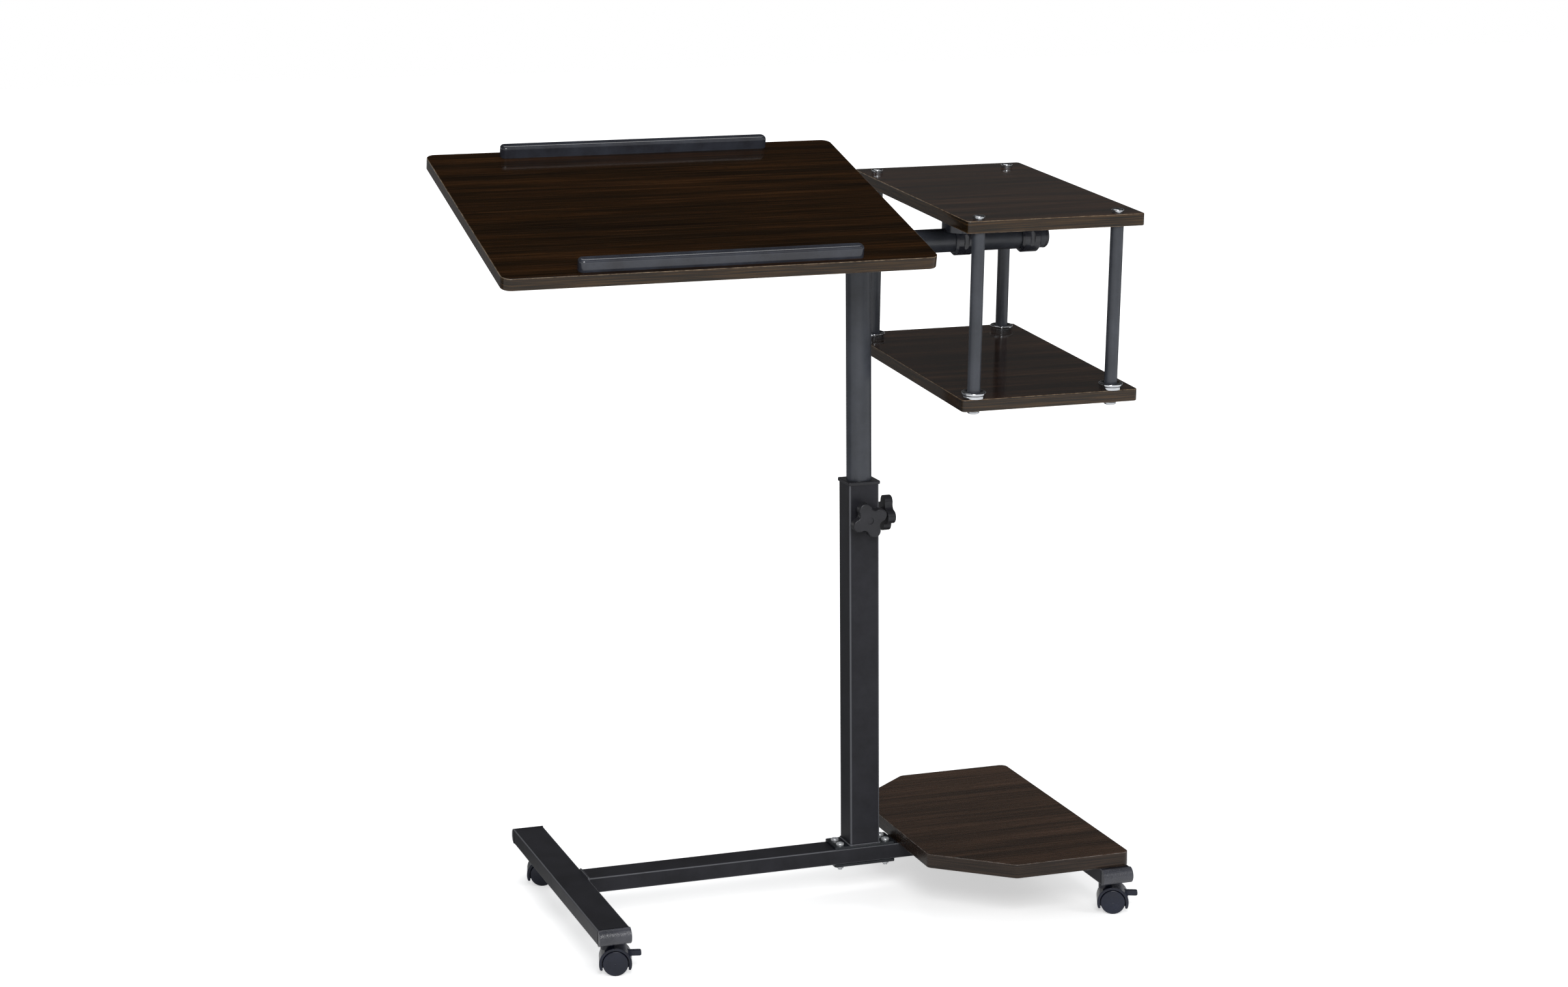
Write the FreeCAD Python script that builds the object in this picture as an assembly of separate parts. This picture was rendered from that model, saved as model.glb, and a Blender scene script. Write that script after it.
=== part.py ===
import FreeCAD, Part
import math
import os

from FreeCAD import Vector

# Laptop table on casters: a square mast on a wheeled base carries a sliding, turning round mast.
# Its cross bar holds a tilting desk and a tilting side table with two shelves.
# Millimetres. X runs along the long bar, Y to the back, Z up from the floor.
# The layout is written from the mast axis, and move_to_origin sets the origin last.

# Tubes of the base
foot_width = 40.0
foot_height = 20.0
foot_wall = 1.5
foot_corner = 2.0
foot_length = 416.0
left_foot_x = -389.0
right_foot_x = 267.0
long_bar_width = 40.0
long_bar_wall = 1.5
cap_lip = 2.0
cap_bulge = 8.0
cap_plug_length = 12.0
cap_plug_gap = 0.2

# Casters
caster_height = 46.0
caster_inset = 31.0
caster_trail = 9.5
left_caster_angle = -15.0
right_caster_angle = -23.0
wheel_diameter = 31.0
wheel_width = 9.0
wheel_dome = 1.5
wheel_gap = 11.0
wheel_edge = 1.2
axle_diameter = 5.0
axle_end_cover = 2.5
hood_gap = 1.2
hood_wall = 3.2
hood_below_axle = 7.7
hood_end_round = 1.3
hood_boss_diameter = 17.0
web_side_gap = 0.5
stem_diameter = 8.0
stem_grip = 11.0
stem_collar_diameter = 16.0
stem_collar_height = 1.6
stem_above_nut = 2.0
nut_flats = 13.0
nut_height = 6.5
lever_width = 6.0
lever_side_gap = 0.25
lever_height = 6.5
lever_reach = 11.5
lever_root = 3.0
lever_rise = 9.0
lever_pivot_diameter = 3.0
lever_pivot_grip = 1.0
lever_slot_room = 2.5

# Mast
mast_side = 40.0
mast_wall = 2.0
mast_corner = 3.0
knob_to_mast_top = 46.0
plate_length = 82.0
plate_width = 40.0
plate_thickness = 3.5
plate_corner = 3.0
bolt_diameter = 5.0
bolt_spacing_x = 62.0
bolt_spacing_y = 20.0
bolt_below_nut = 2.0
bolt_head_diameter = 10.5
bolt_head_height = 2.8
bolt_nut_flats = 8.0
bolt_nut_height = 4.0
bolt_clearance = 0.3
collar_lip = 4.0
collar_overhang = 1.5
collar_depth = 25.0
tube_diameter = 32.0
tube_wall = 2.0
tube_bottom = 352.0
running_gap = 0.08
guide_height = 45.0
guide_floor = 5.0
guide_side_gap = 0.15

# Clamp knobs
knob_height = 500.0
boss_diameter = 18.0
boss_length = 7.0
stud_diameter = 8.0
stud_tip_gap = 0.3
knob_hub_gap = 0.6
knob_hub_diameter = 15.0
knob_hub_length = 3.5
knob_thickness = 11.0
knob_lobes = 4
knob_lobe_radius = 8.5
knob_lobe_offset = 15.0
knob_notch = 14.5
knob_edge = 2.0
knob_front_angle = 23.0
knob_side_angle = 10.0
knob_dimple_diameter = 9.0
knob_dimple_depth = 1.2
stud_in_knob = 6.0

# Cross bar and its head
pivot_z = 843.0
bar_diameter = 30.0
bar_wall = 1.5
bar_end_overhang = 7.0
bar_cap_length = 6.0
bar_cap_plug = 10.0
sleeve_diameter = 38.0
sleeve_length = 60.0
head_bolt_diameter = 6.0
head_bolt_flats = 10.0
head_bolt_nut_height = 5.0
head_bolt_head_height = 4.0
head_bolt_end = 3.0
weld_gap = 0.1

# Tilt brackets
bracket_height = 45.0
ring_diameter = 39.0
ring_width = 25.0
ring_chamfer = 2.5
puck_diameter = 50.0
puck_start = 12.0
bracket_screw_spread = 41.0
bracket_screw_diameter = 4.0
bracket_screw_head_diameter = 6.8
bracket_screw_head_depth = 4.0
bracket_screw_in_board = 11.0
set_screw_diameter = 6.0
set_screw_gap = 0.2
thread_gap = 0.05

# Desk
desk_width = 532.0
desk_depth = 410.0
desk_thickness = 15.0
desk_right = 29.0
desk_offset = 10.0
desk_tilt = 15.0
desk_corner = 12.0
board_edge = 1.0
desk_bracket_spacing = 280.0
rail_length = 348.0
rail_width = 16.0
rail_height = 15.0
rail_setback = 8.0
rail_round = 6.5
rail_top_round = 4.0
rail_screw_inset = 40.0
rail_screw_depth = 9.0

# Side table
side_width = 232.0
side_depth = 396.0
side_thickness = 15.0
side_left = 67.0
side_offset = 4.0
side_tilt = 3.8
side_corner = 5.0
shelf_spacing = 218.5
side_bracket_spacing = 90.0
post_diameter = 16.0
post_wall = 1.5
post_inset_left = 19.0
post_inset_front = 12.5
post_spacing_x = 181.5
post_spacing_y = 349.0
insert_length = 15.0
flange_foot_diameter = 28.0
flange_foot_height = 3.2
flange_groove_depth = 1.6
flange_groove_height = 0.8
flange_rim_diameter = 30.0
flange_rim_height = 3.4
flange_rim_wall = 2.0
flange_dish = 2.4
screw_diameter = 6.0
screw_head_diameter = 15.0
screw_head_height = 2.6
screw_neck_diameter = 11.0
screw_neck_height = 1.0
screw_washer_diameter = 14.0
screw_washer_height = 1.2
screw_in_insert = 10.0
recess_width = 1.6
recess_length = 6.5
recess_depth = 1.8

# Base board
base_board_left = 45.0
base_board_right = 288.0
base_board_depth = 408.0
base_board_thickness = 18.0
base_board_cut_x = 89.0
base_board_cut_y = 78.0
base_board_corner = 10.0
base_screw_x = (85.0, 205.0)
base_screw_y = 120.0
base_screw_diameter = 5.0
base_screw_head_diameter = 9.0
base_screw_head_height = 2.5
base_screw_in_board = 12.0

# Places that follow from the sizes
bar_bottom = caster_height
bar_top = caster_height + foot_height
wheel_radius = wheel_diameter / 2
hood_inner = wheel_radius + hood_gap
hood_outer = hood_inner + hood_wall
hood_width = wheel_gap + 2 * wheel_width + wheel_dome
web_width = wheel_gap - 2 * web_side_gap
caster_y = foot_length / 2 - caster_inset
plate_top = bar_top + plate_thickness
mast_top = knob_height + knob_to_mast_top
clamp_bottom = bar_bottom - plate_thickness
mast_tube_top = mast_top - collar_lip
knob_face_gap = mast_side / 2 + boss_length + knob_hub_gap
desk_middle = desk_right - desk_width / 2
side_middle = side_left + side_width / 2
desk_bracket_x = (desk_middle - desk_bracket_spacing / 2, desk_middle + desk_bracket_spacing / 2)
side_bracket_x = (side_middle - side_bracket_spacing / 2, side_middle + side_bracket_spacing / 2)
bar_left = desk_bracket_x[0] - ring_width / 2 - bar_end_overhang
bar_right = side_bracket_x[1] + ring_width / 2 + bar_end_overhang
post_x = (side_left + post_inset_left, side_left + post_inset_left + post_spacing_x)
post_front = side_offset - side_depth / 2 + post_inset_front
post_y = (post_front, post_front + post_spacing_y)
lever_tip = caster_trail + hood_outer + lever_reach
right_turn = math.radians(right_caster_angle)
lever_tip_x = lever_tip * math.cos(right_turn) + lever_width / 2 * abs(math.sin(right_turn))
origin_x = (desk_middle - desk_width / 2 + right_foot_x + lever_tip_x) / 2

X_AXIS = Vector(1, 0, 0)
Y_AXIS = Vector(0, 1, 0)
Z_AXIS = Vector(0, 0, 1)

parts = {}


def add(name, *solids):
    """Keep the solids of one named node."""
    parts.setdefault(name, []).extend(solids)


def block(low, high):
    """Box between two corners."""
    size = [b - a for a, b in zip(low, high)]
    return Part.makeBox(*size, Vector(*low))


def rod(diameter, start, length, axis=Z_AXIS):
    """Round bar from a start point along an axis."""
    return Part.makeCylinder(diameter / 2, length, Vector(*start), axis)


def rounded_face(width, depth, corner, centre=(0, 0)):
    """Flat rectangle with round corners, centred in X and Y."""
    plate = Part.makeBox(width, depth, 1, Vector(centre[0] - width / 2, centre[1] - depth / 2, 0))
    upright = [e for e in plate.Edges if abs(e.tangentAt(e.FirstParameter).z) > 0.9]
    plate = plate.makeFillet(corner, upright)
    return min(plate.Faces, key=lambda face: face.CenterOfMass.z)


def rounded_prism(width, depth, height, corner, centre=(0, 0), start=0.0):
    """Upright prism with round upright edges."""
    prism = rounded_face(width, depth, corner, centre).extrude(Vector(0, 0, height))
    return prism.translated(Vector(0, 0, start))


def square_tube(width, depth, wall, corner, start, length):
    """Upright rectangular tube on the Z axis."""
    outer = rounded_prism(width, depth, length, corner, start=start)
    inner = rounded_prism(width - 2 * wall, depth - 2 * wall, length, max(corner - wall, 0.3), start=start)
    return outer.cut(inner)


def lay_down(shape, axis, degrees):
    """Turn a shape about an axis through the origin."""
    return shape.rotated(Vector(0, 0, 0), axis, degrees)


def hexagon(flats, height, start=0.0, bore=0.0):
    """Upright hexagonal nut or head, across flats in X."""
    radius = flats / math.sqrt(3)
    corners = [Vector(radius * math.sin(math.radians(60 * i)), radius * math.cos(math.radians(60 * i)), start)
               for i in range(7)]
    prism = Part.Face(Part.makePolygon(corners)).extrude(Vector(0, 0, height))
    if bore:
        prism = prism.cut(rod(bore, (0, 0, start), height))
    return prism


def round_edges(shape, radius, level):
    """Round the outline edges that lie at one height."""
    edges = [e for e in shape.Edges
             if abs(e.BoundBox.ZMin - level) < 1e-4 and abs(e.BoundBox.ZMax - level) < 1e-4]
    return shape.makeFillet(radius, edges)


def board(width, depth, thickness, corner, centre, bottom):
    """Flat board with round corners and slightly broken edges."""
    slab = rounded_prism(width, depth, thickness, corner, centre, bottom)
    slab = round_edges(slab, board_edge, bottom + thickness)
    return round_edges(slab, board_edge, bottom)


def cross_recess(top):
    """Cross slot cut down from a screw head's top."""
    one = block((-recess_length / 2, -recess_width / 2, top - recess_depth),
                (recess_length / 2, recess_width / 2, top))
    return one.fuse(lay_down(one, Z_AXIS, 90))


def domed_head(diameter, height, start):
    """Screw head with a rounded rim and a cross recess."""
    head = rod(diameter, (0, 0, start), height)
    head = round_edges(head, min(height * 0.6, diameter / 4), start + height)
    return head.cut(cross_recess(start + height))


def table_frame(shape, tilt):
    """Turn a shape drawn about the cross bar to its table's tilt and lift it to the bar."""
    return lay_down(shape, X_AXIS, tilt).translated(Vector(0, 0, pivot_z))


def make_foot(foot_x):
    """Foot bar along Y with holes for two caster stems."""
    tube = square_tube(foot_height, foot_width, foot_wall, foot_corner, -foot_length / 2, foot_length)
    tube = lay_down(lay_down(tube, X_AXIS, 90), Y_AXIS, 90)
    tube = tube.translated(Vector(foot_x, 0, (bar_bottom + bar_top) / 2))
    for y in (-caster_y, caster_y):
        tube = tube.cut(rod(stem_diameter, (foot_x, y, bar_bottom), foot_wall))
    return tube


def make_foot_cap(foot_x, side):
    """Plastic cap with a plug in the foot bar and a bulging end; side is -1 at the front, 1 behind."""
    half = foot_height / 2
    outline = [
        Part.makeLine(Vector(0, 0, -half), Vector(0, cap_lip, -half)),
        Part.Arc(Vector(0, cap_lip, -half), Vector(0, cap_lip + cap_bulge, 0), Vector(0, cap_lip, half)).toShape(),
        Part.makeLine(Vector(0, cap_lip, half), Vector(0, 0, half)),
        Part.makeLine(Vector(0, 0, half), Vector(0, 0, -half)),
    ]
    cap = Part.Face(Part.Wire(outline)).extrude(Vector(foot_width, 0, 0))
    cap = cap.translated(Vector(-foot_width / 2, 0, 0))
    inset = foot_wall + cap_plug_gap
    plug = block((inset - foot_width / 2, -cap_plug_length, inset - half),
                 (foot_width / 2 - inset, 0, half - inset))
    cap = cap.fuse(plug)
    if side < 0:
        cap = lay_down(cap, Z_AXIS, 180)
    return cap.translated(Vector(foot_x, side * foot_length / 2, (bar_bottom + bar_top) / 2))


def make_long_bar():
    """Bar between the feet, with holes for the mast bolts and the base board screws."""
    length = right_foot_x - left_foot_x - foot_width
    tube = square_tube(foot_height, long_bar_width, long_bar_wall, foot_corner, 0, length)
    tube = lay_down(tube, Y_AXIS, 90)
    tube = tube.translated(Vector(left_foot_x + foot_width / 2, 0, (bar_bottom + bar_top) / 2))
    for x, y in bolt_places():
        tube = tube.cut(rod(bolt_diameter + bolt_clearance, (x, y, bar_bottom), foot_height))
    for x in base_screw_x:
        tube = tube.cut(rod(base_screw_diameter + 2 * thread_gap, (x, 0, bar_bottom), foot_height))
    return tube


def bolt_places():
    """Centres of the four mast bolts."""
    return [(sx * bolt_spacing_x / 2, sy * bolt_spacing_y / 2) for sx in (-1, 1) for sy in (-1, 1)]


def make_plate(bottom):
    """Flat plate with the four bolt holes."""
    plate = rounded_prism(plate_length, plate_width, plate_thickness, plate_corner, start=bottom)
    for x, y in bolt_places():
        plate = plate.cut(rod(bolt_diameter + bolt_clearance, (x, y, bottom), plate_thickness))
    return plate


def make_mast_fixings():
    """Four bolts through both plates and the bar, with nuts below."""
    nut_bottom = clamp_bottom - bolt_nut_height
    shank_bottom = nut_bottom - bolt_below_nut
    for x, y in bolt_places():
        bolt = rod(bolt_diameter, (0, 0, shank_bottom), plate_top - shank_bottom)
        bolt = bolt.fuse(domed_head(bolt_head_diameter, bolt_head_height, plate_top))
        add("mast_bolts", bolt.translated(Vector(x, y, 0)))
        nut = hexagon(bolt_nut_flats, bolt_nut_height, nut_bottom, bolt_diameter + 2 * thread_gap)
        add("mast_nuts", nut.translated(Vector(x, y, 0)))


def make_lower_mast():
    """Square mast tube with a hole for each clamp stud."""
    tube = square_tube(mast_side, mast_side, mast_wall, mast_corner, plate_top, mast_tube_top - plate_top)
    hole = stud_diameter + 2 * running_gap
    tube = tube.cut(rod(hole, (0, -mast_side / 2, knob_height), mast_wall, Y_AXIS))
    return tube.cut(rod(hole, (mast_side / 2 - mast_wall, 0, knob_height), mast_wall, X_AXIS))


def make_collar():
    """Plastic collar with a lip on the mast's top and a bore for the round tube."""
    lip_side = mast_side + 2 * collar_overhang
    lip = rounded_prism(lip_side, lip_side, collar_lip, mast_corner, start=mast_tube_top)
    lip = round_edges(lip, collar_lip / 4, mast_top)
    plug_side = mast_side - 2 * mast_wall - 2 * guide_side_gap
    plug = rounded_prism(plug_side, plug_side, collar_depth, 1.0, start=mast_tube_top - collar_depth)
    bore = rod(tube_diameter + 2 * running_gap, (0, 0, mast_tube_top - collar_depth), collar_depth + collar_lip)
    return lip.fuse(plug).cut(bore)


def make_guide():
    """Square cup that carries the round tube's foot inside the square mast."""
    side = mast_side - 2 * mast_wall - 2 * guide_side_gap
    cup = rounded_prism(side, side, guide_height, 1.0, start=tube_bottom - guide_floor)
    return cup.cut(rod(tube_diameter + 2 * running_gap, (0, 0, tube_bottom), guide_height))


def make_upper_mast():
    """Round tube whose top is shaped to the head sleeve."""
    tube = rod(tube_diameter, (0, 0, tube_bottom), pivot_z - tube_bottom)
    tube = tube.cut(rod(tube_diameter - 2 * tube_wall, (0, 0, tube_bottom), pivot_z - tube_bottom))
    return tube.cut(rod(sleeve_diameter + 2 * weld_gap, (-sleeve_length, 0, pivot_z), 2 * sleeve_length, X_AXIS))


def make_cross_bar():
    """Round bar tube, with the head bolt's hole through it."""
    tube = rod(bar_diameter, (bar_left, 0, pivot_z), bar_right - bar_left, X_AXIS)
    tube = tube.cut(rod(bar_diameter - 2 * bar_wall, (bar_left, 0, pivot_z), bar_right - bar_left, X_AXIS))
    return tube.cut(head_bolt_hole())


def head_bolt_hole():
    """Hole along Y through the sleeve and the bar."""
    return rod(head_bolt_diameter + 2 * thread_gap, (0, -sleeve_diameter, pivot_z), 2 * sleeve_diameter, Y_AXIS)


def make_sleeve():
    """Short tube on the mast's top that holds the cross bar."""
    start = (-sleeve_length / 2, 0, pivot_z)
    sleeve = rod(sleeve_diameter, start, sleeve_length, X_AXIS)
    sleeve = sleeve.cut(rod(bar_diameter + 2 * running_gap, start, sleeve_length, X_AXIS))
    return sleeve.cut(head_bolt_hole())


def make_head_bolt():
    """Bolt and nut that pin the cross bar in its sleeve."""
    half = sleeve_diameter / 2
    shank = rod(head_bolt_diameter, (0, 0, -half), 2 * half + head_bolt_nut_height + head_bolt_end)
    bolt = shank.fuse(hexagon(head_bolt_flats, head_bolt_head_height, -half - head_bolt_head_height))
    nut = hexagon(head_bolt_flats, head_bolt_nut_height, half, head_bolt_diameter + 2 * thread_gap)
    for piece in (bolt, nut):
        add("head_bolt_and_nut", lay_down(piece, X_AXIS, -90).translated(Vector(0, 0, pivot_z)))


def make_bar_cap(side):
    """Domed cap in one end of the cross bar; side is -1 at the left end, 1 at the right."""
    cap = rod(bar_diameter, (0, 0, 0), bar_cap_length)
    cap = round_edges(cap, bar_cap_length * 0.7, bar_cap_length)
    plug = rod(bar_diameter - 2 * bar_wall - 2 * cap_plug_gap, (0, 0, -bar_cap_plug), bar_cap_plug)
    cap = lay_down(cap.fuse(plug), Y_AXIS, side * 90)
    end = bar_right if side > 0 else bar_left
    return cap.translated(Vector(end, 0, pivot_z))


def star_outline():
    """Outline of the star knob: lobes and notches as arcs that meet smoothly."""
    half_step = math.pi / knob_lobes
    reach = knob_lobe_offset * math.cos(half_step)
    top = knob_lobe_offset ** 2 + knob_notch ** 2 - 2 * reach * knob_notch - knob_lobe_radius ** 2
    notch_radius = top / (2 * (knob_lobe_radius - knob_notch + reach))
    notch_centre = knob_notch + notch_radius
    share = knob_lobe_radius / (knob_lobe_radius + notch_radius)

    def polar(radius, angle):
        return Vector(radius * math.cos(angle), radius * math.sin(angle), 0)

    edges = []
    for i in range(knob_lobes):
        angle = 2 * half_step * i
        lobe = polar(knob_lobe_offset, angle)
        before = lobe + (polar(notch_centre, angle - half_step) - lobe) * share
        after = lobe + (polar(notch_centre, angle + half_step) - lobe) * share
        next_lobe = polar(knob_lobe_offset, angle + 2 * half_step)
        next_before = next_lobe + (polar(notch_centre, angle + half_step) - next_lobe) * share
        tip = polar(knob_lobe_offset + knob_lobe_radius, angle)
        edges.append(Part.Arc(before, tip, after).toShape())
        edges.append(Part.Arc(after, polar(knob_notch, angle + half_step), next_before).toShape())
    return Part.Wire(edges)


def make_knob(name, angle, turn_axis, turn):
    """Star knob and its clamp stud, drawn upwards from the mast axis and turned to its side."""
    star_start = knob_face_gap + knob_hub_length
    star = Part.Face(star_outline()).extrude(Vector(0, 0, knob_thickness))
    star = star.translated(Vector(0, 0, star_start))
    star = round_edges(star, knob_edge, star_start + knob_thickness)
    star = star.fuse(rod(knob_hub_diameter, (0, 0, knob_face_gap), knob_hub_length))
    dimple_start = star_start + knob_thickness - knob_dimple_depth
    star = star.cut(rod(knob_dimple_diameter, (0, 0, dimple_start), knob_dimple_depth))
    tip = tube_diameter / 2 + stud_tip_gap
    stud = rod(stud_diameter, (0, 0, tip), star_start + stud_in_knob - tip)
    star = star.cut(rod(stud_diameter + 2 * thread_gap, (0, 0, knob_face_gap), knob_hub_length + stud_in_knob))
    for node, piece in ((name, star), (name + "_stud", stud)):
        piece = lay_down(lay_down(piece, Z_AXIS, angle), turn_axis, turn)
        add(node, piece.translated(Vector(0, 0, knob_height)))


def make_boss():
    """Threaded boss on the mast for a clamp stud, drawn upwards from the mast axis."""
    boss = rod(boss_diameter, (0, 0, mast_side / 2), boss_length)
    return boss.cut(rod(stud_diameter + 2 * running_gap, (0, 0, mast_side / 2), boss_length))


def set_caster(shape, angle, place):
    """Swivel a caster's piece about its stem and move it under its foot bar."""
    return lay_down(shape, Z_AXIS, angle).translated(place)


def make_caster(corner, foot_x, y, angle, braked):
    """Twin-wheel caster with its hood, wheels and axle; front casters carry a brake lever."""
    place = Vector(foot_x, y, 0)
    axle = (caster_trail, 0, wheel_radius)
    hood = rod(2 * hood_outer, (caster_trail, -hood_width / 2, wheel_radius), hood_width, Y_AXIS)
    boss_top = caster_height - stem_collar_height - running_gap
    hood = hood.fuse(rod(hood_boss_diameter, (0, 0, wheel_diameter), boss_top - wheel_diameter))
    for side in (-1, 1):
        start = (caster_trail, side * web_width / 2, wheel_radius)
        hood = hood.cut(rod(2 * hood_inner, start, hood_width, Vector(0, side, 0)))
    low = wheel_radius - hood_below_axle
    hood = hood.cut(block((-hood_outer, -hood_width, -hood_outer), (caster_trail + 2 * hood_outer, hood_width, low)))
    tips = [e for e in hood.Edges if abs(e.BoundBox.ZMax - low) < 1e-6 and e.BoundBox.YLength > hood_width / 4
            and abs(e.CenterOfMass.x - caster_trail) > hood_inner - hood_gap - wheel_edge]
    hood = hood.makeFillet(hood_end_round, tips)
    hood = hood.cut(rod(axle_diameter + 2 * running_gap, (caster_trail, -hood_width, wheel_radius),
                        2 * hood_width, Y_AXIS))
    stem_bottom = caster_height - stem_collar_height - stem_grip
    hood = hood.cut(rod(stem_diameter + 2 * running_gap, (0, 0, stem_bottom - running_gap), caster_height))
    if braked:
        lever, slot = make_lever()
        hood = hood.cut(slot)
        add("caster_" + corner + "_brake_lever", set_caster(lever, angle, place))
    add("caster_" + corner + "_hood", set_caster(hood, angle, place))

    half_span = wheel_gap / 2 + wheel_width
    for side in (-1, 1):
        dome_radius = (wheel_radius ** 2 + wheel_dome ** 2) / (2 * wheel_dome)
        dome = Part.makeSphere(dome_radius, Vector(0, 0, wheel_width + wheel_dome - dome_radius))
        wheel = rod(wheel_diameter, (0, 0, 0), 2 * wheel_width).common(dome)
        wheel = round_edges(wheel, wheel_edge, 0)
        wheel = round_edges(wheel, wheel_edge, wheel_width)
        wheel = wheel.cut(rod(axle_diameter + 2 * thread_gap, (0, 0, 0), wheel_width - axle_end_cover + thread_gap))
        wheel = lay_down(wheel, X_AXIS, -90 * side)
        wheel = wheel.translated(Vector(caster_trail, side * wheel_gap / 2, wheel_radius))
        add("caster_" + corner + "_wheels", set_caster(wheel, angle, place))
    axle_half = half_span - axle_end_cover
    pin = rod(axle_diameter, (axle[0], -axle_half, axle[2]), 2 * axle_half, Y_AXIS)
    add("caster_" + corner + "_axle", set_caster(pin, angle, place))

    stem_top = bar_bottom + foot_wall + nut_height + stem_above_nut
    stem = rod(stem_diameter, (0, 0, stem_bottom), stem_top - stem_bottom)
    stem = stem.fuse(rod(stem_collar_diameter, (0, 0, caster_height - stem_collar_height), stem_collar_height))
    add("caster_stems", stem.translated(place))
    nut = hexagon(nut_flats, nut_height, bar_bottom + foot_wall, stem_diameter + 2 * thread_gap)
    add("caster_nuts", nut.translated(place))


def make_lever():
    """Brake lever with its two pivot stubs, and the slot for it in the hood."""
    half = lever_width / 2
    pivot = (caster_trail + hood_inner - lever_root, wheel_radius + lever_rise)
    tip_x = lever_tip
    middle = pivot[1]
    lever = block((pivot[0] - lever_root, -half, middle - lever_height / 2),
                  (tip_x, half, middle + lever_height / 2))
    lever = lever.makeFillet(lever_height / 3, [e for e in lever.Edges
                                                if abs(e.BoundBox.XMin - tip_x) < 1e-6 and e.BoundBox.YLength > 1])
    lever = lever.fuse(rod(lever_pivot_diameter, (pivot[0], -half - lever_pivot_grip, middle),
                           lever_width + 2 * lever_pivot_grip, Y_AXIS))
    slot_half = half + lever_side_gap
    slot = block((pivot[0] - 2 * lever_root, -slot_half, middle - lever_height - lever_slot_room),
                 (tip_x, slot_half, middle + lever_height / 2 + lever_slot_room / 2))
    grip = lever_width + 2 * lever_pivot_grip + 2 * lever_side_gap
    slot = slot.fuse(rod(lever_pivot_diameter + 2 * running_gap, (pivot[0], -grip / 2, middle), grip, Y_AXIS))
    return lever, slot


def make_bracket(x):
    """Ring round the cross bar with a round pedestal up to its board."""
    ring = rod(ring_diameter, (x - ring_width / 2, 0, 0), ring_width, X_AXIS)
    ring = ring.makeChamfer(ring_chamfer, [e for e in ring.Edges if e.BoundBox.XLength < 1e-6])
    bracket = ring.fuse(rod(puck_diameter, (x, 0, puck_start), bracket_height - puck_start))
    bracket = bracket.cut(rod(bar_diameter + 2 * running_gap, (x - puck_diameter, 0, 0), 2 * puck_diameter, X_AXIS))
    for y in (-bracket_screw_spread / 2, bracket_screw_spread / 2):
        bracket = bracket.cut(rod(bracket_screw_diameter + 2 * thread_gap, (x, y, 0), bracket_height))
        bracket = bracket.cut(rod(bracket_screw_head_diameter + 2 * thread_gap, (x, y, -ring_diameter / 2),
                                  ring_diameter / 2 + puck_start + bracket_screw_head_depth))
    hole = rod(set_screw_diameter + 2 * thread_gap, (x, 0, 0), ring_diameter, Y_AXIS)
    return bracket.cut(hole)


def make_bracket_screws(x):
    """Two screws up through the pedestal into the board, drawn about the bar."""
    screws = []
    for y in (-bracket_screw_spread / 2, bracket_screw_spread / 2):
        start = puck_start + bracket_screw_head_depth
        screw = rod(bracket_screw_diameter, (x, y, start), bracket_height + bracket_screw_in_board - start)
        head = rod(bracket_screw_head_diameter, (x, y, puck_start), bracket_screw_head_depth)
        screws.append(screw.fuse(head))
    return screws


def make_set_screw(x):
    """Set screw in the back of a ring, short of the bar."""
    start = bar_diameter / 2 + set_screw_gap
    return rod(set_screw_diameter, (x, start, 0), ring_diameter / 2 - start, Y_AXIS)


def bracket_holes(x):
    """Screw holes of one bracket in its board."""
    diameter = bracket_screw_diameter + 2 * thread_gap
    return [rod(diameter, (x, y, bracket_height), bracket_screw_in_board)
            for y in (-bracket_screw_spread / 2, bracket_screw_spread / 2)]


def make_rail(y):
    """Moulded stop rail on the desk, with round ends and a round top."""
    bottom = bracket_height + desk_thickness
    rail = rounded_prism(rail_length, rail_width, rail_height, rail_round, (desk_middle, y), bottom)
    rail = round_edges(rail, rail_top_round, bottom + rail_height)
    for x in rail_screw_places():
        rail = rail.cut(rod(bracket_screw_diameter + 2 * thread_gap, (x, y, bottom), rail_screw_depth))
    return rail


def rail_screw_places():
    """X places of the two screws of each rail."""
    half = rail_length / 2 - rail_screw_inset
    return (desk_middle - half, desk_middle + half)


def make_desk():
    """Desk board with its rails, brackets and screws, tilted on the cross bar."""
    front = desk_offset - desk_depth / 2
    rail_y = (front + rail_setback + rail_width / 2, front + desk_depth - rail_setback - rail_width / 2)
    slab = board(desk_width, desk_depth, desk_thickness, desk_corner, (desk_middle, desk_offset), bracket_height)
    pieces = {"desk_screws": []}
    for name, y in zip(("desk_front_rail", "desk_rear_rail"), rail_y):
        pieces[name] = [make_rail(y)]
        for x in rail_screw_places():
            length = desk_thickness + rail_screw_depth
            slab = slab.cut(rod(bracket_screw_diameter + 2 * thread_gap, (x, y, bracket_height), desk_thickness))
            head_height = base_screw_head_height
            screw = rod(bracket_screw_diameter, (x, y, bracket_height), length)
            head = rod(bracket_screw_head_diameter, (x, y, bracket_height - head_height), head_height)
            pieces["desk_screws"].append(screw.fuse(head))
    slab = add_brackets(pieces, "desk", desk_bracket_x, slab)
    pieces["desk_board"] = [slab]
    for name, solids in pieces.items():
        add(name, *[table_frame(solid, desk_tilt) for solid in solids])


def add_brackets(pieces, table, places, slab):
    """Add a table's two brackets with their screws, and return its board with the screw holes."""
    for side, x in zip(("left", "right"), places):
        pieces[table + "_bracket_" + side] = [make_bracket(x)]
        pieces.setdefault(table + "_screws", []).extend(make_bracket_screws(x))
        pieces.setdefault(table + "_set_screws", []).append(make_set_screw(x))
        for hole in bracket_holes(x):
            slab = slab.cut(hole)
    return slab


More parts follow.
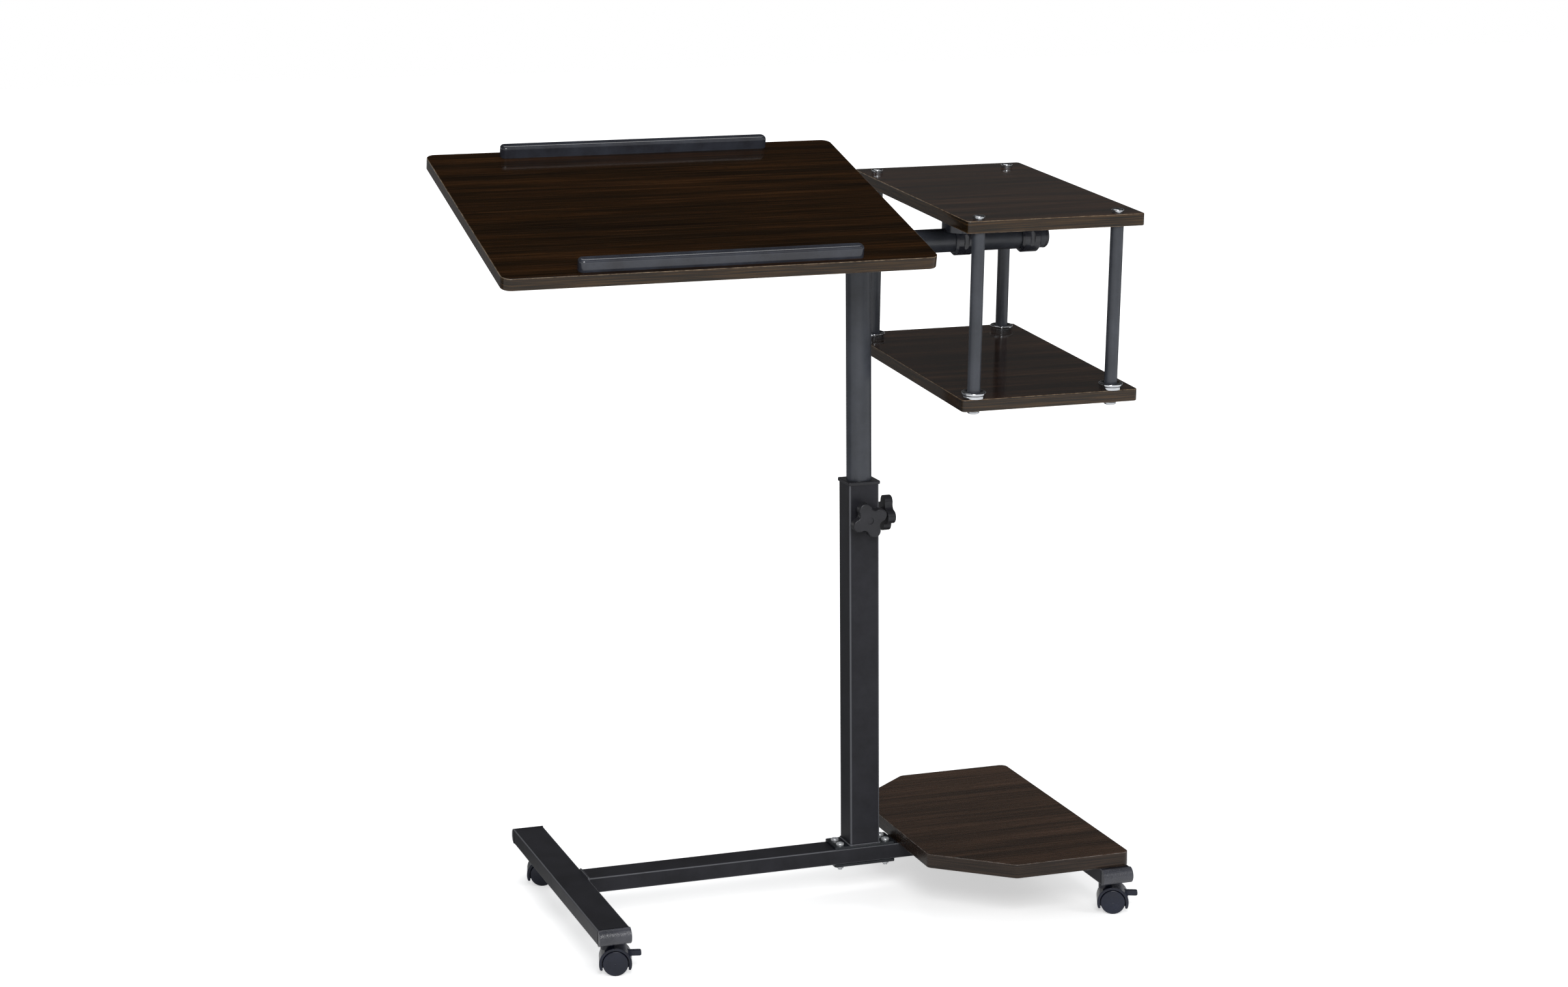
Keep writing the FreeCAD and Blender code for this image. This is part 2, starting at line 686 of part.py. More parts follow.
def make_post_screw(start):
    """Screw with washer, neck and domed head, drawn upwards from a board's face at start."""
    neck_start = start + screw_washer_height
    head_start = neck_start + screw_neck_height
    screw = rod(screw_washer_diameter, (0, 0, start), screw_washer_height)
    screw = screw.fuse(rod(screw_neck_diameter, (0, 0, neck_start), screw_neck_height))
    screw = screw.fuse(domed_head(screw_head_diameter, screw_head_height, head_start))
    shank = side_thickness + screw_in_insert
    return screw.fuse(rod(screw_diameter, (0, 0, start - shank), shank))


def make_flange():
    """Stepped bright flange round a post's foot, with a dished top."""
    foot = rod(flange_foot_diameter, (0, 0, 0), flange_foot_height)
    rim_bottom = flange_foot_height + flange_groove_height
    neck = rod(flange_foot_diameter - 2 * flange_groove_depth, (0, 0, flange_foot_height), flange_groove_height)
    rim = rod(flange_rim_diameter, (0, 0, rim_bottom), flange_rim_height)
    rim = rim.makeFillet(1.0, [e for e in rim.Edges if len(e.Vertexes) == 1])
    top = rim_bottom + flange_rim_height
    inner = flange_rim_diameter / 2 - flange_rim_wall
    dish = Part.makeCone(post_diameter / 2, inner, flange_dish, Vector(0, 0, top - flange_dish), Z_AXIS)
    flange = foot.fuse(neck).fuse(rim).cut(dish)
    return flange.cut(rod(post_diameter + 2 * thread_gap, (0, 0, 0), top))


def make_side_table():
    """Side table: two shelves on four posts, hung on the cross bar by the upper one."""
    centre = (side_middle, side_offset)
    upper = board(side_width, side_depth, side_thickness, side_corner, centre, bracket_height)
    lower_bottom = bracket_height - shelf_spacing
    lower = board(side_width, side_depth, side_thickness, side_corner, centre, lower_bottom)
    lower_top = lower_bottom + side_thickness
    hole = screw_diameter + 2 * thread_gap
    pieces = {}
    for depth_name, y in zip(("front", "back"), post_y):
        for side_name, x in zip(("left", "right"), post_x):
            upper = upper.cut(rod(hole, (x, y, bracket_height), side_thickness))
            lower = lower.cut(rod(hole, (x, y, lower_bottom), side_thickness))
            post = rod(post_diameter, (x, y, lower_top), bracket_height - lower_top)
            post = post.cut(rod(post_diameter - 2 * post_wall, (x, y, lower_top), bracket_height - lower_top))
            pieces["side_post_" + depth_name + "_" + side_name] = [post]
            for start in (lower_top, bracket_height - insert_length):
                insert = rod(post_diameter - 2 * post_wall - 2 * thread_gap, (x, y, start), insert_length)
                insert = insert.cut(rod(hole, (x, y, start), insert_length))
                pieces.setdefault("side_post_inserts", []).append(insert)
            spot = Vector(x, y, 0)
            flange = make_flange().translated(spot + Vector(0, 0, lower_top))
            pieces.setdefault("side_post_flanges", []).append(flange)
            top_screw = make_post_screw(bracket_height + side_thickness)
            pieces.setdefault("side_top_screws", []).append(top_screw.translated(spot))
            low_screw = lay_down(make_post_screw(-lower_bottom), X_AXIS, 180)
            pieces.setdefault("side_bottom_screws", []).append(low_screw.translated(spot))
    upper = add_brackets(pieces, "side", side_bracket_x, upper)
    pieces["side_upper_shelf"] = [upper]
    pieces["side_lower_shelf"] = [lower]
    for name, solids in pieces.items():
        add(name, *[table_frame(solid, side_tilt) for solid in solids])


def base_screw_places():
    """Centres of the four screws that hold the base board."""
    return [(x, 0) for x in base_screw_x] + [(right_foot_x, -base_screw_y), (right_foot_x, base_screw_y)]


def make_base_board():
    """Board over the right foot, with both corners beside the mast cut off."""
    half = base_board_depth / 2
    left = base_board_left
    right = base_board_right
    corners = [(right, -half), (right, half), (left + base_board_cut_x, half), (left, half - base_board_cut_y),
               (left, base_board_cut_y - half), (left + base_board_cut_x, -half), (right, -half)]
    outline = Part.makePolygon([Vector(x, y, bar_top) for x, y in corners])
    slab = Part.Face(outline).extrude(Vector(0, 0, base_board_thickness))
    upright = [e for e in slab.Edges if e.BoundBox.ZLength > base_board_thickness / 2]
    slab = slab.makeFillet(base_board_corner, upright)
    slab = round_edges(slab, board_edge, bar_top + base_board_thickness)
    slab = round_edges(slab, board_edge, bar_top)
    for x, y in base_screw_places():
        slab = slab.cut(rod(base_screw_diameter + 2 * thread_gap, (x, y, bar_top), base_screw_in_board))
    return slab


def make_base_screw(x, y):
    """Long screw up through a bar into the base board."""
    shank = rod(base_screw_diameter, (x, y, bar_bottom), foot_height + base_screw_in_board)
    head = rod(base_screw_head_diameter, (x, y, bar_bottom - base_screw_head_height), base_screw_head_height)
    return shank.fuse(head)


def make_base():
    """Everything that stays on the floor, without the casters."""
    left = make_foot(left_foot_x)
    right = make_foot(right_foot_x)
    for x, y in base_screw_places()[2:]:
        right = right.cut(rod(base_screw_diameter + 2 * thread_gap, (x, y, bar_bottom), foot_height))
    add("left_foot_bar", left)
    add("right_foot_bar", right)
    add("foot_end_caps", *[make_foot_cap(x, side) for x in (left_foot_x, right_foot_x) for side in (-1, 1)])
    add("long_bar", make_long_bar())
    add("mast_base_plate", make_plate(bar_top))
    add("mast_clamp_plate", make_plate(clamp_bottom))
    make_mast_fixings()
    add("lower_mast", make_lower_mast())
    add("mast_collar", make_collar())
    for axis, turn in ((X_AXIS, 90), (Y_AXIS, 90)):
        add("knob_bosses", lay_down(make_boss(), axis, turn).translated(Vector(0, 0, knob_height)))
    add("base_board", make_base_board())
    add("base_board_screws", *[make_base_screw(x, y) for x, y in base_screw_places()])


def make_casters():
    """Four casters, the two front ones with brake levers."""
    for depth_name, y in (("front", -caster_y), ("back", caster_y)):
        for side_name, x, angle in (("left", left_foot_x, left_caster_angle),
                                    ("right", right_foot_x, right_caster_angle)):
            make_caster(depth_name + "_" + side_name, x, y, angle, depth_name == "front")


def make_mast_top():
    """Sliding and turning parts up to the cross bar."""
    add("mast_guide", make_guide())
    add("upper_mast", make_upper_mast())
    add("head_sleeve", make_sleeve())
    add("cross_bar", make_cross_bar())
    add("bar_end_caps", make_bar_cap(-1), make_bar_cap(1))
    make_head_bolt()


def move_to_origin(solid):
    """Move a solid so that the origin is under the middle of the whole table."""
    return solid.translated(Vector(-origin_x, 0, 0))


def write_parts():
    """Write one STEP file per node."""
    os.makedirs("parts", exist_ok=True)
    for name, solids in parts.items():
        moved = [move_to_origin(solid) for solid in solids]
        shape = moved[0] if len(moved) == 1 else Part.makeCompound(moved)
        shape.exportStep(os.path.join("parts", name + ".step"))
    print(len(parts), "nodes, origin at layout x", round(origin_x, 3))


make_base()
make_casters()
make_mast_top()
make_knob("knob_front", knob_front_angle, X_AXIS, 90)
make_knob("knob_side", knob_side_angle, Y_AXIS, 90)
make_desk()
make_side_table()
write_parts()
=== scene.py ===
# %% [markdown]
# # A rolling laptop table
# A wheeled steel base carries a square mast, a round mast slides and turns in it, and a cross bar on top
# holds a tilting desk and a tilting side table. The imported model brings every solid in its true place, so
# this script adds the finishes, the small details that a solid model leaves out, the floor, the light and
# the camera.

import math

import bpy
from mathutils import Matrix, Vector


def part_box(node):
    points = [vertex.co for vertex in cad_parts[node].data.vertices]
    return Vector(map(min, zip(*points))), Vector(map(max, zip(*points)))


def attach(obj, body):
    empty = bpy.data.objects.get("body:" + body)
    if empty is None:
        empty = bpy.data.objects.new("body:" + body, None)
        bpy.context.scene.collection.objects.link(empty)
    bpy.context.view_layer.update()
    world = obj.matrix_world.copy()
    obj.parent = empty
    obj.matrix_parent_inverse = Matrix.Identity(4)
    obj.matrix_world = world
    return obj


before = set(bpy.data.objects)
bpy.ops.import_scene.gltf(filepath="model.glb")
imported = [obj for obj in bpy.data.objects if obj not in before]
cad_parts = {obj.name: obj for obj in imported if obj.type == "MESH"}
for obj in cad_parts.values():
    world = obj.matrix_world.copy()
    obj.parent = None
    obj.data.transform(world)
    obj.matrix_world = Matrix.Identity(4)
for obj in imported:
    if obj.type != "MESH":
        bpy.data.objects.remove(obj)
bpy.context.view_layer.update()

# %% [markdown]
# ## Colours and nodes
# Colours are written as the sRGB hex values that an eye or a paint chart gives. Shaders work in linear
# light, so one function turns them over. A second one adds a node with its settings, its ramp stops and its
# links, which keeps each material short enough to read as a recipe. Inputs go by name, or by number where
# names repeat: a Map Range node takes its old range at 1 and 2 and its new one at 3 and 4, and a Mix node
# of colours takes its factor at 0 and the two colours at 6 and 7.

# %% Colour and node helpers


def linear(hex_colour, alpha=1.0):
    """Turn an sRGB hex colour into linear red, green, blue and alpha."""
    channels = [int(hex_colour[i:i + 2], 16) / 255 for i in (1, 3, 5)]
    return (*[c / 12.92 if c <= 0.04045 else ((c + 0.055) / 1.055) ** 2.4 for c in channels], alpha)


def add_node(tree, kind, inputs=None, stops=(), **settings):
    """Add a node; set its properties, ramp stops and inputs, or link an input to another node or socket."""
    node = tree.nodes.new(kind)
    for key, value in settings.items():
        setattr(node, key, value)
    if stops:
        elements = node.color_ramp.elements
        while len(elements) < len(stops):
            elements.new(0.5)
        for element, (position, colour) in zip(elements, stops):
            element.position = position
            element.color = linear(colour)
    for key, value in (inputs or {}).items():
        if isinstance(value, bpy.types.Node):
            value = value.outputs[0]
        if isinstance(value, bpy.types.NodeSocket):
            tree.links.new(value, node.inputs[key])
        else:
            node.inputs[key].default_value = value
    return node


def new_material(name, **constants):
    """Make a material with a principled shader, whose named sockets take the given constants."""
    material = bpy.data.materials.new(name)
    material.use_nodes = True
    tree = material.node_tree
    tree.nodes.clear()
    shader = add_node(tree, "ShaderNodeBsdfPrincipled")
    for socket, value in constants.items():
        shader.inputs[socket.replace("_", " ")].default_value = value
    add_node(tree, "ShaderNodeOutputMaterial", {"Surface": shader})
    return material, tree, shader


# %% [markdown]
# ## Dark wood melamine
# The boards are particle board with a printed wood-grain melamine face, pressed smooth and glossy, so the
# grain is colour and hardly relief. The print runs along X on every board. A photograph of wood would do,
# but noise stretched along the grain needs no image and never repeats: broad bands, fine streaks and short
# dark pores, each with the size it has in millimetres. The edge band is a paler print of the same wood, and
# along the trimmed arris between face and band a narrow tan line is painted as its highlight, broken by a few
# worn chips. The base board is wrapped round its edges instead, so it has no band, and the line painted along
# its arris is a fainter grey sheen. The tables are tilted about the cross bar, so a Mapping node first turns
# the object's coordinates back into the board's own plane.

# %% Where the tables turn
MAST_X = 0.5 * (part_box("lower_mast")[0][0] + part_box("lower_mast")[1][0])
BAR_Z = 0.5 * (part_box("head_sleeve")[0][2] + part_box("head_sleeve")[1][2])
PIVOT = Vector((MAST_X, 0.0, BAR_Z))
DESK_TILT = math.radians(15.0)
SIDE_TILT = math.radians(3.8)
print("mast axis at x", round(MAST_X, 4), "and cross bar at z", round(BAR_Z, 4))

# %% Wood grain
BANDS_MM, STREAKS_MM, FIBRES_MM, PORES_MM, CHIPS_MM = (500, 20), (170, 3.0), (50, 1.2), (14, 0.7), (9, 9)
PORE_BROWN = "#0f0905"


def grain(tree, coords, along_mm, across_mm, detail=2.0, shift=0.0):
    """Noise stretched along X, whose features are about so long and so wide."""
    scale = (1000 / along_mm, 1000 / across_mm, 1000 / across_mm)
    stretched = add_node(tree, "ShaderNodeMapping", {"Vector": coords, "Location": (shift, shift, shift),
                                                     "Scale": scale})
    return add_node(tree, "ShaderNodeTexNoise", {"Vector": stretched, "Scale": 1.0, "Detail": detail,
                                                 "Roughness": 0.55})


def board_plane(tree, tilt):
    """Coordinates in a board's own plane, and how far a face looks up or down."""
    coords = add_node(tree, "ShaderNodeTexCoord")
    shift = -(Matrix.Rotation(-tilt, 3, "X") @ PIVOT)
    flat = add_node(tree, "ShaderNodeMapping", {"Vector": coords.outputs["Object"], "Location": shift,
                                                "Rotation": (-tilt, 0.0, 0.0)})
    normal = add_node(tree, "ShaderNodeMapping", {"Vector": coords.outputs["Normal"],
                                                  "Rotation": (-tilt, 0.0, 0.0)}, vector_type="VECTOR")
    parts = add_node(tree, "ShaderNodeSeparateXYZ", {0: normal})
    facing_up = add_node(tree, "ShaderNodeMath", {0: parts.outputs["Z"]}, operation="ABSOLUTE")
    return flat, facing_up


def wood_melamine(name, tilt, tones, band_tones, gloss, arris_highlight, arris_highlight_tone):
    """Printed wood melamine on a board tilted about the cross bar; arris_highlight is how strongly the
    highlight painted along its arris shows.
    """
    material, tree, shader = new_material(name, Specular_IOR_Level=0.38)
    flat, facing_up = board_plane(tree, tilt)
    bands = grain(tree, flat, *BANDS_MM, 2.0)
    streaks = grain(tree, flat, *STREAKS_MM, 3.0, 3.1)
    fibres = grain(tree, flat, *FIBRES_MM, 2.0, 7.7)
    mixed = add_node(tree, "ShaderNodeMath", {0: bands, 1: 0.40}, operation="MULTIPLY")
    mixed = add_node(tree, "ShaderNodeMath", {0: streaks, 1: 0.40, 2: mixed}, operation="MULTIPLY_ADD")
    mixed = add_node(tree, "ShaderNodeMath", {0: fibres, 1: 0.20, 2: mixed}, operation="MULTIPLY_ADD")
    face = add_node(tree, "ShaderNodeValToRGB", {"Fac": mixed},
                    stops=list(zip((0.38, 0.47, 0.55, 0.64), tones)))
    pores = grain(tree, flat, *PORES_MM, 0.0, 1.3)
    pore_mask = add_node(tree, "ShaderNodeMapRange", {"Value": pores, 1: 0.64, 2: 0.72, 4: 0.6})
    face = add_node(tree, "ShaderNodeMix", {0: pore_mask, 6: face, 7: linear(PORE_BROWN)}, data_type="RGBA")
    layers = add_node(tree, "ShaderNodeMapping", {"Vector": flat, "Scale": (14.0, 14.0, 650.0)})
    layers = add_node(tree, "ShaderNodeTexNoise", {"Vector": layers, "Scale": 1.0, "Detail": 3.0})
    band = add_node(tree, "ShaderNodeValToRGB", {"Fac": layers},
                    stops=list(zip((0.36, 0.5, 0.64), band_tones)))
    is_edge = add_node(tree, "ShaderNodeMath", {0: facing_up, 1: 0.2}, operation="LESS_THAN")
    colour = add_node(tree, "ShaderNodeMix", {0: is_edge, 6: face.outputs[2], 7: band}, data_type="RGBA")

    # A pale line is painted along the arris between face and edge as its highlight, broken by worn chips; on
    # the base board it is a fainter grey painted sheen.
    rising = add_node(tree, "ShaderNodeMapRange", {"Value": facing_up, 1: 0.15, 2: 0.4})
    falling = add_node(tree, "ShaderNodeMapRange", {"Value": facing_up, 1: 0.9, 2: 0.99, 3: 1.0, 4: 0.0})
    on_arris = add_node(tree, "ShaderNodeMath", {0: rising, 1: falling}, operation="MULTIPLY")
    wear_and_highlight = grain(tree, flat, *CHIPS_MM, 3.0, 5.5)
    wear_and_highlight = add_node(tree, "ShaderNodeMapRange", {"Value": wear_and_highlight, 1: 0.35, 2: 0.65, 3: 0.2 * arris_highlight,
                                                 4: arris_highlight})
    arris = add_node(tree, "ShaderNodeMath", {0: on_arris, 1: wear_and_highlight}, operation="MULTIPLY")
    colour = add_node(tree, "ShaderNodeMix", {0: arris, 6: colour.outputs[2], 7: linear(arris_highlight_tone)},
                      data_type="RGBA")

    rough = add_node(tree, "ShaderNodeMapRange", {"Value": streaks, 1: 0.3, 2: 0.7, 3: gloss - 0.03,
                                                  4: gloss + 0.05})
    height = add_node(tree, "ShaderNodeMath", {0: fibres, 1: 0.3, 2: pore_mask}, operation="MULTIPLY_ADD")
    bump = add_node(tree, "ShaderNodeBump", {"Strength": 0.05, "Distance": 0.0001, "Height": height})
    tree.links.new(colour.outputs[2], shader.inputs["Base Color"])
    tree.links.new(rough.outputs[0], shader.inputs["Roughness"])
    tree.links.new(bump.outputs[0], shader.inputs["Normal"])
    return material


# %% Three wood prints
DESK_TONES = ("#100702", "#1a0f04", "#261506", "#36210d")
SHELF_TONES = ("#120b06", "#20150d", "#301f14", "#443020")
BASE_TONES = ("#21150c", "#2e1f14", "#3b291c", "#493427")
BAND_TONES = ("#171006", "#291c0d", "#3c2b17")
WRAP_TONES = ("#1c130c", "#261b13", "#32251b")
# The last two values of each print give how strongly the highlight painted along its arris shows, and its
# tone.
desk_wood = wood_melamine("walnut melamine, desk", DESK_TILT, DESK_TONES, BAND_TONES, 0.10, 0.8,
                          "#8a7863")
side_wood = wood_melamine("walnut melamine, side shelves", SIDE_TILT, SHELF_TONES, BAND_TONES, 0.11, 0.8,
                          "#8a7863")
base_wood = wood_melamine("walnut foil, base board", 0.0, BASE_TONES, WRAP_TONES, 0.26, 0.45,
                          "#8f8b88")
print("wood prints:", desk_wood.name, "/", side_wood.name, "/", base_wood.name)

# %% [markdown]
# ## Black finishes
# The tubes are steel with a satin powder coat: a dark neutral black whose skin has a faint orange peel,
# under a millimetre across. The moulded pieces are black plastic: a spark-eroded grain on the foot caps, a
# polished mould on the stop rails and the bar's caps. The casters are nylon, smooth and slightly blue. One
# recipe makes them all, with a cloudy change of tone and polish and a grain of a given size. On the square
# tubes a paler grey is painted along the rounded corners as their highlight.

# %% Powder coat and plastics


def coated(name, colour, paler, roughness, specular, grain_mm, relief_mm, strength, corner=None):
    """Black coat or moulding with a fine surface grain of the given size, and a paler highlight painted along
    its corners if asked.
    """
    material, tree, shader = new_material(name, Specular_IOR_Level=specular)
    source = add_node(tree, "ShaderNodeTexCoord")
    coords = source.outputs["Object"]
    skin = add_node(tree, "ShaderNodeTexNoise", {"Vector": coords, "Scale": 1000 / grain_mm, "Detail": 2.0,
                                                 "Roughness": 0.6})
    clouds = add_node(tree, "ShaderNodeTexNoise", {"Vector": coords, "Scale": 26.0, "Detail": 4.0,
                                                   "Roughness": 0.62})
    tint = add_node(tree, "ShaderNodeValToRGB", {"Fac": clouds}, stops=((0.35, colour), (0.65, paler)))
    rough = add_node(tree, "ShaderNodeMapRange", {"Value": clouds, 1: 0.3, 2: 0.7, 3: roughness - 0.03,
                                                  4: roughness + 0.05})
    bump = add_node(tree, "ShaderNodeBump", {"Strength": strength, "Distance": relief_mm / 1000,
                                             "Height": skin})
    colour = tint.outputs[0]
    if corner:
        size = add_node(tree, "ShaderNodeVectorMath", {0: source.outputs["Normal"]}, operation="ABSOLUTE")
        x, y, z = add_node(tree, "ShaderNodeSeparateXYZ", {0: size}).outputs
        most = add_node(tree, "ShaderNodeMath", {0: x, 1: y}, operation="MAXIMUM")
        most = add_node(tree, "ShaderNodeMath", {0: most, 1: z}, operation="MAXIMUM")
        # A paler grey is painted along the rounded corners, where the normal leans off every axis, as their
        # highlight.
        corner_highlight_mask = add_node(tree, "ShaderNodeMapRange", {"Value": most, 1: 0.98, 2: 0.88})
        mixed = add_node(tree, "ShaderNodeMix", {0: corner_highlight_mask, 6: tint, 7: linear(corner)}, data_type="RGBA")
        colour = mixed.outputs[2]
    tree.links.new(colour, shader.inputs["Base Color"])
    tree.links.new(rough.outputs[0], shader.inputs["Roughness"])
    tree.links.new(bump.outputs[0], shader.inputs["Normal"])
    return material


# The powder coat's last colour is the highlight painted along the square tubes' corners.
powder_coat = coated("satin black powder coat", "#1e1e22", "#27272c", 0.40, 0.22, 0.9, 0.04, 0.3, "#595a5e")
tube_coat = coated("satin black powder coat, round tubes", "#2e3137", "#393c43", 0.30, 0.5, 0.9, 0.04, 0.25)
plate_coat = coated("glossy black powder coat, plates", "#14171b", "#1e2227", 0.22, 0.4, 1.2, 0.05, 0.3)
grained_plastic = coated("grained black polypropylene", "#35363c", "#46474e", 0.27, 0.75, 1.6, 0.5, 1.0)
polished_plastic = coated("polished black ABS", "#26272d", "#31343c", 0.14, 0.6, 5.0, 0.004, 0.1)
satin_plastic = coated("satin black ABS", "#1e1e21", "#28282c", 0.33, 0.35, 0.6, 0.03, 0.3)
caster_nylon = coated("black caster nylon", "#141826", "#1d2233", 0.24, 0.5, 0.7, 0.01, 0.15)

# %% [markdown]
# ## Plated metal
# The screws and the post flanges are chrome, which mirrors the room almost whole. Nuts, studs and stems are
# zinc plated, duller, with a faint cloud in their polish. The mast's bolts and nuts have brighter zinc, and
# their fine threads and drive recesses scatter the light, so part of it is matt.

# %% Chrome and zinc


def plated(name, colour, roughness, spread, metallic=1.0):
    """Bare plated metal with small changes in its polish."""
    material, tree, shader = new_material(name, Base_Color=linear(colour), Metallic=metallic)
    coords = add_node(tree, "ShaderNodeTexCoord").outputs["Object"]
    clouds = add_node(tree, "ShaderNodeTexNoise", {"Vector": coords, "Scale": 160.0, "Detail": 3.0})
    rough = add_node(tree, "ShaderNodeMapRange", {"Value": clouds, 1: 0.3, 2: 0.7, 3: roughness,
                                                  4: roughness + spread})
    tree.links.new(rough.outputs[0], shader.inputs["Roughness"])
    return material


chrome = plated("bright chrome plate", "#c6c9cd", 0.07, 0.05)
zinc = plated("zinc plated steel", "#97999c", 0.24, 0.12)
bright_zinc = plated("bright zinc plate, scattering", "#d2d4d7", 0.22, 0.08, 0.55)

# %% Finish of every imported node
FINISHES = {
    desk_wood: ("desk_board",),
    side_wood: ("side_upper_shelf", "side_lower_shelf"),
    base_wood: ("base_board",),
    powder_coat: ("left_foot_bar", "right_foot_bar", "long_bar", "lower_mast", "knob_bosses"),
    plate_coat: ("mast_base_plate", "mast_clamp_plate"),
    tube_coat: ("upper_mast", "head_sleeve", "cross_bar", "side_post_front_left", "side_post_front_right",
                "side_post_back_left", "side_post_back_right"),
    grained_plastic: ("foot_end_caps",),
    polished_plastic: ("desk_front_rail", "desk_rear_rail", "bar_end_caps", "side_bracket_left",
                       "side_bracket_right", "desk_bracket_left", "desk_bracket_right"),
    satin_plastic: ("knob_front", "knob_side", "mast_guide", "mast_collar"),
    bright_zinc: ("mast_bolts", "mast_nuts"),
    chrome: ("side_top_screws", "side_bottom_screws", "side_post_flanges"),
}
finish_of = {name: material for material, names in FINISHES.items() for name in names}
for name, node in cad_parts.items():
    material = finish_of.get(name, caster_nylon if name.endswith(("hood", "wheels", "brake_lever")) else zinc)
    for slot in node.material_slots:
        slot.material = material
print(len(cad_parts), "nodes finished with", len(FINISHES) + 2, "materials")

# %% [markdown]
# ## Forms that follow a path
# A weld bead, a moulded rib and the bead round a caster's hood are one kind of form: a round section drawn
# along a line, which may swell and shrink at an even step, as the ripples of a weld do. Each could be
# modelled by hand, and a curve's own bevel can't ripple, so one Geometry Nodes tree makes them all. It
# takes the line as a mesh of edges, with its sizes as named inputs, and what it grows is kept as a plain
# mesh.

# %% Start, end and run a tree of geometry nodes


def new_form(name, sizes):
    """Start a tree that takes a mesh and named sizes; give the tree and its inputs."""
    tree = bpy.data.node_groups.new(name, "GeometryNodeTree")
    kinds = {"Geometry": "NodeSocketGeometry", "Material": "NodeSocketMaterial"}
    for label in ("Geometry", *sizes, "Material"):
        tree.interface.new_socket(label, in_out="INPUT", socket_type=kinds.get(label, "NodeSocketFloat"))
    tree.interface.new_socket("Geometry", in_out="OUTPUT", socket_type="NodeSocketGeometry")
    return tree, add_node(tree, "NodeGroupInput").outputs


def end_form(tree, geometry, material):
    """Make the instances real, shade them smooth, give them the material and hand them out."""
    smooth = add_node(tree, "GeometryNodeSetShadeSmooth", {0: geometry})
    plain = add_node(tree, "GeometryNodeRealizeInstances", {0: smooth})
    painted = add_node(tree, "GeometryNodeSetMaterial", {0: plain, 2: material})
    add_node(tree, "NodeGroupOutput", {0: painted})


def grow(name, tree, start, body, material, **sizes):
    """Run a tree on a mesh and keep what it makes as a plain mesh that rides a body."""
    piece = bpy.data.objects.new(name.replace(" ", "_"), start)
    bpy.context.collection.objects.link(piece)
    modifier = piece.modifiers.new(name, "NODES")
    modifier.node_group = tree
    given = {"Material": material, **{label.replace("_", " "): size for label, size in sizes.items()}}
    for item in tree.interface.items_tree:
        if item.in_out == "INPUT" and item.name in given:
            modifier[item.identifier] = given[item.name]
    graph = bpy.context.evaluated_depsgraph_get()
    grown = bpy.data.meshes.new_from_object(piece.evaluated_get(graph), depsgraph=graph)
    piece.modifiers.remove(modifier)
    piece.data = grown
    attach(piece, body)
    print(name, "on", body, "with", len(grown.polygons), "faces")


# %% Lines for the beads to follow


def at(x_mm, y_mm, z_mm):
    """Point in metres, from millimetres off the mast's axis and the floor."""
    return Vector((MAST_X + x_mm / 1000, y_mm / 1000, z_mm / 1000))


def lines(name, *paths):
    """Mesh of edges through lists of points; a path whose last point is its first one is a ring."""
    points, edges = [], []
    for path in paths:
        ring = (path[0] - path[-1]).length < 1e-7
        kept = path[:-1] if ring else path
        first = len(points)
        points += kept
        edges += [(first + i, first + i + 1) for i in range(len(kept) - 1)]
        if ring:
            edges.append((first + len(kept) - 1, first))
    mesh = bpy.data.meshes.new(name)
    mesh.from_pydata(points, edges, [])
    return mesh


def rounded_rectangle(width, depth, corner, place):
    """Closed outline in mm; place turns its two coordinates into a point."""
    outline = []
    for turn, (cx, cy) in enumerate(((1, 1), (-1, 1), (-1, -1), (1, -1))):
        for step in range(7):
            angle = math.radians(90 * turn + 15 * step)
            outline.append(place(cx * (width / 2 - corner) + corner * math.cos(angle),
                                 cy * (depth / 2 - corner) + corner * math.sin(angle)))
    return outline + outline[:1]


def arc(radius, start, end, place, steps=48):
    """Arc in mm from one angle to another in degrees; place turns its two coordinates into a point."""
    angles = [math.radians(start + (end - start) * i / steps) for i in range(steps + 1)]
    return [place(radius * math.cos(a), radius * math.sin(a)) for a in angles]


# %% The tree that draws a bead along a path
bead, given = new_form("bead along a path", ("Wire radius", "Ripple length", "Ripple depth", "Step"))
path = add_node(bead, "GeometryNodeMeshToCurve", {0: given["Geometry"]})
path = add_node(bead, "GeometryNodeResampleCurve", {0: path, 3: given["Step"]}, mode="LENGTH")
length = add_node(bead, "GeometryNodeSplineParameter").outputs["Length"]
ripple = add_node(bead, "ShaderNodeMath", {0: length, 1: given["Ripple length"]}, operation="PINGPONG")
ripple = add_node(bead, "ShaderNodeMath", {0: ripple, 1: given["Ripple length"]}, operation="DIVIDE")
swell = add_node(bead, "ShaderNodeMath", {0: ripple, 1: given["Ripple depth"], 2: 1.0},
                 operation="MULTIPLY_ADD")
section = add_node(bead, "GeometryNodeCurvePrimitiveCircle", {0: 10, 4: given["Wire radius"]})
drawn = add_node(bead, "GeometryNodeCurveToMesh", {0: path, 1: section, 2: swell, 3: True})
end_form(bead, drawn, given["Material"])
print("tree", bead.name, "with", len(bead.nodes), "nodes")

# %% [markdown]
# ## Weld beads
# The square mast is welded to its plate, the long bar to both foot bars and the head sleeve to the round
# mast. Each bead is about 2.4 mm thick with a ripple every 1.6 mm, painted with the tube.

